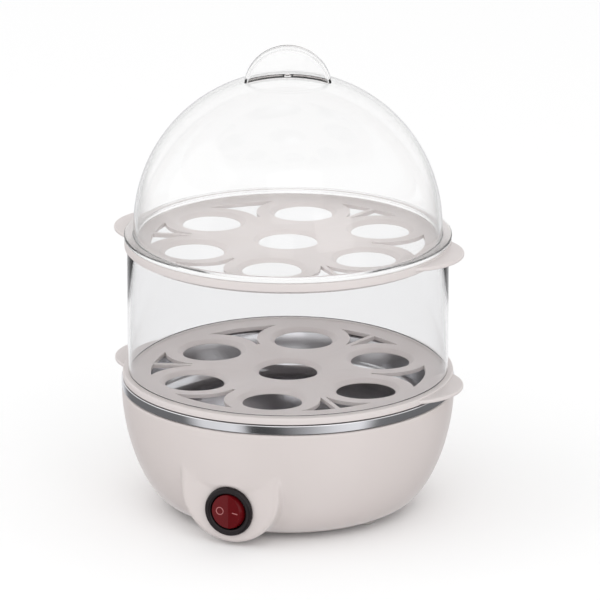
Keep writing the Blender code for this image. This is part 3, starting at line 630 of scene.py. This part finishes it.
def pan():
    low, high = box_mm("heating_pan")
    r, top, band_z, thick = high.x, high.z, high.z - PAN_BAND, PAN_THICK
    floor = low.z + thick
    body = lathe("steel_pan", [
        (0, floor + 0.9), (24, floor + 0.6), (46, floor, 2), (62.0, floor, 3), (71.6, floor + 4.2, 6),
        (74.9, top - 1.4, 2), (76.2, top, 0.7), (r, top, 0.4), (r, band_z, 0.25), (r - thick, band_z, 0.2),
        (r - thick, top - thick, 0.5), (76.4, top - thick, 0.8), (74.1, top - 1.8, 1.2), (70.8, floor + 4.4, 5),
        (61.7, floor - thick, 3), (46, floor - thick, 2), (0, floor - thick)])
    done(body, "base", STEEL, ("heating_pan",), angle=50)


def gland():
    low, high = box_mm("cord_gland")
    r, out, back = (high.x - low.x) / 2, high.y, low.y
    ribs = []
    for i in range(4):
        z = out - 3.4 - i * 2.6
        ribs += [(4.5, z - 0.9), (4.2, z - 1.3), (4.2, z - 1.9), (4.5, z - 2.3)]
    body = lathe("gland_bush", [(2.8, out, 0.5), (4.6, out, 0.6), (5.2, out - 0.9, 0.3), (r, out - 1.2, 0.4),
                                (r, out - 2.4, 0.2), (4.5, out - 2.4), *ribs, (4.5, back, 0.3), (2.8, back, 0.3)],
                 steps=SMALL_TURN, closed=True)
    point_back(body, (low.z + high.z) / 2)
    done(body, "base", BLACK, ("cord_gland",))


def switch():
    low, high = box_mm("switch_body")
    r, front, back = (high.x - low.x) / 2, -low.y, -high.y
    pocket, barrel, z = 8.9, 9.9, (low.z + high.z) / 2
    case = lathe("switch_case", [
        (0, back + 2.5), (pocket, back + 2.5), (pocket, front - 0.5, 0.5), (pocket + 0.7, front, 0.4),
        (r - 0.7, front, 0.9), (r, front - 1.2, 0.6), (r, front - FLANGE_HEIGHT, 0.1),
        (barrel, front - FLANGE_HEIGHT), (barrel, back, 0.3), (0, back)], steps=96)
    point_front(case, z)
    done(case, "base", BLACK, ("switch_body",))

    face_y = ROCKER_PIVOT_Y - ROCKER_RISE
    deselect()
    bpy.ops.mesh.primitive_uv_sphere_add(segments=64, ring_count=32, radius=ROCKER_R * MM,
                                         location=(0, ROCKER_PIVOT_Y * MM, z * MM))
    bpy.ops.object.transform_apply(location=True, rotation=True, scale=True)
    paddle = bpy.context.object
    paddle.name = "rocker_paddle"
    far = 2 * ROCKER_R
    combine(paddle, cube("off_side", (-far, face_y - far, z - far), (0, face_y, z + far)))
    slope = cube("on_side", (0, -far, -far), (far, 0, far))
    slope.data.transform(Matrix.Translation((0, face_y * MM, z * MM))
                         @ Matrix.Rotation(math.radians(-ROCKER_SLOPE), 4, "Z"))
    combine(paddle, slope)
    combine(paddle, cube("behind", (-far, ROCKER_PIVOT_Y + 3, z - far), (far, ROCKER_PIVOT_Y + far, z + far)))
    round_edges(paddle, 0.3, angle=15)
    done(paddle, "switch_rocker", RED, ("switch_rocker",))

    deselect()
    bpy.ops.mesh.primitive_torus_add(major_segments=40, minor_segments=10, major_radius=1.75 * MM,
                                     minor_radius=0.22 * MM, rotation=(math.radians(90), 0, 0),
                                     location=(-MARK_OFFSET_OFF * MM, face_y * MM, z * MM))
    bpy.ops.object.transform_apply(location=True, rotation=True, scale=True)
    ring = bpy.context.object
    ring.name = "mark_off"
    done(ring, "switch_rocker", MARK)
    bar = cube("mark_on", (-1.7, -0.14, -0.26), (1.7, 0.14, 0.26))
    round_edges(bar, 0.12)
    bar.data.transform(Matrix.Translation((0, face_y * MM, z * MM))
                       @ Matrix.Rotation(math.radians(-ROCKER_SLOPE), 4, "Z")
                       @ Matrix.Translation((MARK_OFFSET_ON * MM, 0, 0)))
    done(bar, "switch_rocker", MARK)


# ---------------------------------------------------------------- trays, ring and lid

def slot_outlines(angle, split):
    """A three-sided steam slot beside two cups, in two halves where it has a rib."""
    across, along = CUP_RING_R * math.sin(math.pi / 6), CUP_RING_R * math.cos(math.pi / 6)
    reach = CUP_R + CUP_WEB
    rib = SLOT_RIB / 2 if split else 0.0
    sides = []
    for i in range(15):
        u = SLOT_INNER + (SLOT_CORNER - SLOT_INNER) * i / 14
        v = across - math.sqrt(reach ** 2 - (u - along) ** 2)
        if v > rib + 0.4:
            sides.append((u, v))
    corner = math.atan2(sides[-1][1], sides[-1][0])
    rise = math.asin(rib / SLOT_OUTER_R)
    arc = [corner + (rise - corner) * i / 8 for i in range(9)]
    half = [*sides, *((SLOT_OUTER_R * math.cos(a), SLOT_OUTER_R * math.sin(a)) for a in arc)]
    if split:
        tip = sides[0][0]
        shapes = [[(tip, rib), *half], [(tip, -rib), *((u, -v) for u, v in half)]]
    else:
        shapes = [[*half, *((u, -v) for u, v in reversed(half[:-1]))]]
    turn = math.radians(angle - 90)
    return [[(u * math.cos(turn) - v * math.sin(turn), u * math.sin(turn) + v * math.cos(turn))
             for u, v in shape] for shape in shapes]


def egg_tray(name, node, profile, skirt_r, rim_z, deck_z, deck_low):
    tray = lathe(name, profile)
    tip_r = box_mm(node)[1].x
    for side in (1, -1):
        deselect()
        centre = (side * (tip_r - TAB_R) * MM, 0, (rim_z - TAB_MIDDLE_DROP) * MM)
        bpy.ops.mesh.primitive_cylinder_add(vertices=128, radius=TAB_R * MM, depth=TAB_THICK * MM,
                                            location=centre)
        bpy.ops.object.transform_apply(location=True, rotation=True, scale=True)
        tab = bpy.context.object
        round_edges(tab, 0.8, segments=4)
        combine(tab, drum("mouth", skirt_r - 0.7, (0, 0, rim_z - 9), (0, 0, rim_z + 9), sides=FINE_TURN))
        combine(tray, tab, "UNION")
    spots = [(0.0, 0.0), *(around(PATTERN_TURN + 30 + 60 * i, CUP_RING_R) for i in range(6))]
    wide = CUP_R + CUP_DISH
    plug = lathe("cup_plug", [(0, deck_z + 2), (wide + 1.2, deck_z + 2), (wide + 0.8, deck_z + 0.1, 0.3),
                              (wide, deck_z - 0.1, 0.5), (CUP_R, deck_low + 0.3, 0.5),
                              (CUP_R - 0.1, deck_low - 2), (0, deck_low - 2)], steps=72)
    plugs = [copied(plug, f"plug_{i}", (x, y, 0)) for i, (x, y) in enumerate(spots)]
    bpy.data.objects.remove(plug, do_unlink=True)
    combine(tray, joined(plugs, "cups"))
    shapes = [shape for k in range(6) for shape in slot_outlines(PATTERN_TURN + 60 * k, k % 2 == 1)]
    slots = [prism(f"slot_{i}", shape, deck_low - 2, deck_z - 0.4, 1.03) for i, shape in enumerate(shapes)]
    combine(tray, joined(slots, "slots"))
    done(tray, node, TRAY, (node,))


def trays():
    low, high = box_mm("lower_tray")
    skirt, rim, seat, deck = high.y, high.z, box_mm("heating_pan")[1].z + 0.4, high.z - LOWER_DECK_DROP
    under = deck - DECK_THICK
    egg_tray("lower_egg_tray", "lower_tray", [
        (0, deck), (74.2, deck, 0.5), (75.2, rim, 0.6), (skirt, rim, 0.9), (skirt, seat, 0.3), (77.6, seat, 0.2),
        (77.6, under, 0.4), (74.0, under, 0.3), (73.8, low.z, 0.3), (72.4, low.z, 0.3), (72.4, under, 0.3),
        (0, under)], skirt, rim, deck, under)
    low, high = box_mm("upper_tray")
    skirt, rim, groove, deck = high.y, high.z, box_mm("middle_ring")[1].z + GAP, high.z - UPPER_DECK_DROP
    under = deck - DECK_THICK
    egg_tray("upper_egg_tray", "upper_tray", [
        (0, deck), (72.0, deck, 1.5), (76.0, rim, 0.8), (skirt, rim, 0.9), (skirt, rim - 4.1, 0.3),
        (77.25, rim - 4.1, 0.2), (77.25, groove, 0.2), (74.7, groove, 0.3), (74.5, low.z, 0.3), (73.1, low.z, 0.3),
        (73.1, under, 0.3), (0, under)], skirt, rim, deck, under)


def ring_and_lid():
    low, high = box_mm("middle_ring")
    r, inner = high.x, high.x - RING_WALL
    ring = lathe("clear_ring", [(inner, high.z, 0.5), (r, high.z, 0.5), (r, low.z, 0.5), (inner, low.z, 0.5)],
                 steps=192, closed=True)
    done(ring, "middle_ring", SMOKY, ("middle_ring",))

    low, high = box_mm("lid")
    flange_r, foot, wall, dome_r = high.x, low.z, LID_WALL, high.x - LID_FLANGE
    centre_z = foot + LID_STRAIGHT
    arc = [math.radians(90 * (1 - i / 48)) for i in range(1, 49)]
    outer = [(dome_r * math.cos(a), centre_z + dome_r * math.sin(a)) for a in arc]
    cover = lathe("lid_dome", [(0, centre_z + dome_r), *outer, (dome_r, foot + wall, 0.5),
                               (flange_r, foot + wall, 0.6), (flange_r, foot, 0.3), (0, foot)], steps=192)
    half, grip_z = GRIP_HALF, high.z - GRIP_R
    grip = drum("grip", GRIP_R, (*around(GRIP_TURN, half), grip_z), (*around(GRIP_TURN, -half), grip_z),
                sides=128)
    round_edges(grip, 1.4, segments=5)
    combine(cover, grip, "UNION")
    inner_r = dome_r - wall
    inner = [(inner_r * math.cos(a), centre_z + inner_r * math.sin(a)) for a in arc]
    combine(cover, lathe("lid_hollow", [(0, centre_z + inner_r), *inner, (inner_r, foot - 4), (0, foot - 4)],
                         steps=192))
    half -= GRIP_WALL
    inside = drum("grip_hollow", GRIP_R - GRIP_WALL, (*around(GRIP_TURN, half), grip_z),
                  (*around(GRIP_TURN, -half), grip_z), sides=128)
    round_edges(inside, 0.9, segments=4)
    combine(cover, inside)
    vent = around(GRIP_TURN + 180, VENT_RING_R)
    combine(cover, drum("vent", 2.5, (*vent, 190), (*vent, 215), sides=32))
    done(cover, "lid", CLEAR, ("lid",), angle=30)


# ---------------------------------------------------------------- inner pieces and stage

def dress_inner_pieces():
    """The inner pieces keep their CAD shape and get their own materials."""
    dress = {
        SILICONE: ("pan_seal", "thermal_fuse"), ALUMINIUM: ("heat_spreader",), CERAMIC: ("terminal_block",),
        BLACK: ("thermostat", "gland_nut"), LAMP: ("switch_lamp",),
        BRASS: ("switch_plunger", "switch_contact", *(f"switch_terminal_{i}" for i in (1, 2, 3))),
        ZINC: ("heating_element", "element_pin_1", "element_pin_2", "thermostat_strap", "strap_screw_1",
               "strap_screw_2", *(f"pan_bracket_{i}" for i in (1, 2, 3, 4))),
        SLEEVE: tuple(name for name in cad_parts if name.startswith("lead_")),
    }
    for material, names in dress.items():
        for name in names:
            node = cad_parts[name]
            node.data.materials.clear()
            node.data.materials.append(material)


def stage():
    """A pale floor, a white room whose soft boxes only gloss sees, and four lamps."""
    deselect()
    bpy.ops.mesh.primitive_plane_add(size=12)
    floor = bpy.context.object
    floor.name = "floor"
    paper, tree, shader = new_material("pale floor")
    shader.inputs["Base Color"].default_value = (0.96, 0.96, 0.96, 1)
    shader.inputs["Roughness"].default_value = 0.9
    shader.inputs["Specular IOR Level"].default_value = 0.0
    floor.data.materials.append(paper)
    floor.visible_glossy = False
    floor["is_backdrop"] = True

    world = bpy.data.worlds.new("white room")
    world.use_nodes = True
    bpy.context.scene.world = world
    tree = world.node_tree
    white = tree.nodes["Background"]
    white.inputs["Color"].default_value = (1, 1, 1, 1)
    white.inputs["Strength"].default_value = 1.0
    direction = wire(tree, "ShaderNodeTexCoord").outputs["Generated"]
    level = wire(tree, "ShaderNodeMapping", Vector=direction, Rotation=(0, 0, math.radians(-CAMERA_TURN)))
    axes = wire(tree, "ShaderNodeSeparateXYZ", Vector=level.outputs[0])
    behind = wire(tree, "ShaderNodeMath", {"operation": "MULTIPLY"}, i0=axes.outputs["Y"], i1=-1.0)
    sideways = wire(tree, "ShaderNodeMath", {"operation": "ARCTAN2"}, i0=axes.outputs["X"], i1=behind.outputs[0])
    share = wire(tree, "ShaderNodeMapRange", Value=sideways.outputs[0], From_Min=-math.pi, From_Max=math.pi)
    boxes = wire(tree, "ShaderNodeValToRGB", Fac=share.outputs[0])
    ramp = boxes.color_ramp
    stops = ((-180, 0.9), (-160, 0.8), (-146, 0.2), (-76, 0.18), (-62, 0.87), (-36, 0.98), (-30, 0.7), (-27, 0.05),
             (-8, 0.09), (14, 0.45), (34, 0.88), (52, 1.0), (64, 0.2), (100, 0.18), (146, 0.2), (160, 0.8),
             (180, 0.9))
    for i, (angle, value) in enumerate(stops):
        at = (angle + 180) / 360
        stop = ramp.elements[i] if i < 2 else ramp.elements.new(at)
        stop.position = at
        stop.color = (value, value, value * 1.02, 1)
    above = wire(tree, "ShaderNodeMapRange", {"interpolation_type": "SMOOTHSTEP"}, Value=axes.outputs["Z"],
                 From_Min=-0.16, From_Max=0.02)
    room = wire(tree, "ShaderNodeMix", {"data_type": "RGBA"}, Factor=above.outputs[0])
    tree.links.new(boxes.outputs["Color"], room.inputs["A"])
    room.inputs["B"].default_value = (1, 1, 1, 1)
    gloss = wire(tree, "ShaderNodeBackground", Color=room.outputs["Result"], Strength=1.0)
    path = wire(tree, "ShaderNodeLightPath")
    outside = wire(tree, "ShaderNodeMath", {"operation": "LESS_THAN"}, i0=path.outputs["Transmission Depth"],
                   i1=0.5)
    first = wire(tree, "ShaderNodeMath", {"operation": "MULTIPLY"}, i0=path.outputs["Is Glossy Ray"],
                 i1=outside.outputs[0])
    either = wire(tree, "ShaderNodeMixShader", Fac=first.outputs[0])
    tree.links.new(white.outputs[0], either.inputs[1])
    tree.links.new(gloss.outputs[0], either.inputs[2])
    tree.links.new(either.outputs[0], tree.nodes["World Output"].inputs["Surface"])

    low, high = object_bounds()
    middle = (low + high) / 2
    lamps = (("key", (0.5, -0.9, 0.9), 0.9, 1.6), ("fill", (-0.9, -0.5, 0.6), 1.0, 1.2),
             ("low", (0.9, -0.6, 0.32), 0.55, 0.8), ("front", (0.3, -0.95, 0.16), 0.3, 0.15))
    for name, place, size, power in lamps:
        light = bpy.data.lights.new(name, "AREA")
        light.energy = power
        light.size = size
        lamp = bpy.data.objects.new(name, light)
        bpy.context.scene.collection.objects.link(lamp)
        lamp.location = place
        lamp.rotation_euler = (middle - Vector(place)).to_track_quat("-Z", "Y").to_euler()


def camera():
    """A long lens, 17 degrees above the table and 22 degrees round from the switch."""
    turn, rise, distance, width = math.radians(CAMERA_TURN), math.radians(CAMERA_RISE), 3.2, 0.2874
    data = bpy.data.cameras.new("camera")
    data.lens = 36 * distance / width
    data.sensor_width = 36
    data.clip_end = 50
    view = bpy.data.objects.new("camera", data)
    bpy.context.scene.collection.objects.link(view)
    sideways, middle_height = 5.75, 101
    aim = Vector((math.cos(turn), math.sin(turn), 0)) * sideways * MM + Vector((0, 0, middle_height * MM))
    away = Vector((math.sin(turn) * math.cos(rise), -math.cos(turn) * math.cos(rise), math.sin(rise)))
    view.location = aim + away * distance
    view.rotation_euler = (-away).to_track_quat("-Z", "Y").to_euler()
    bpy.context.scene.camera = view
    bpy.context.scene.view_settings.view_transform = "Standard"


camera()
housing()
cover_and_feet()
pan()
gland()
switch()
trays()
ring_and_lid()
dress_inner_pieces()
stage()
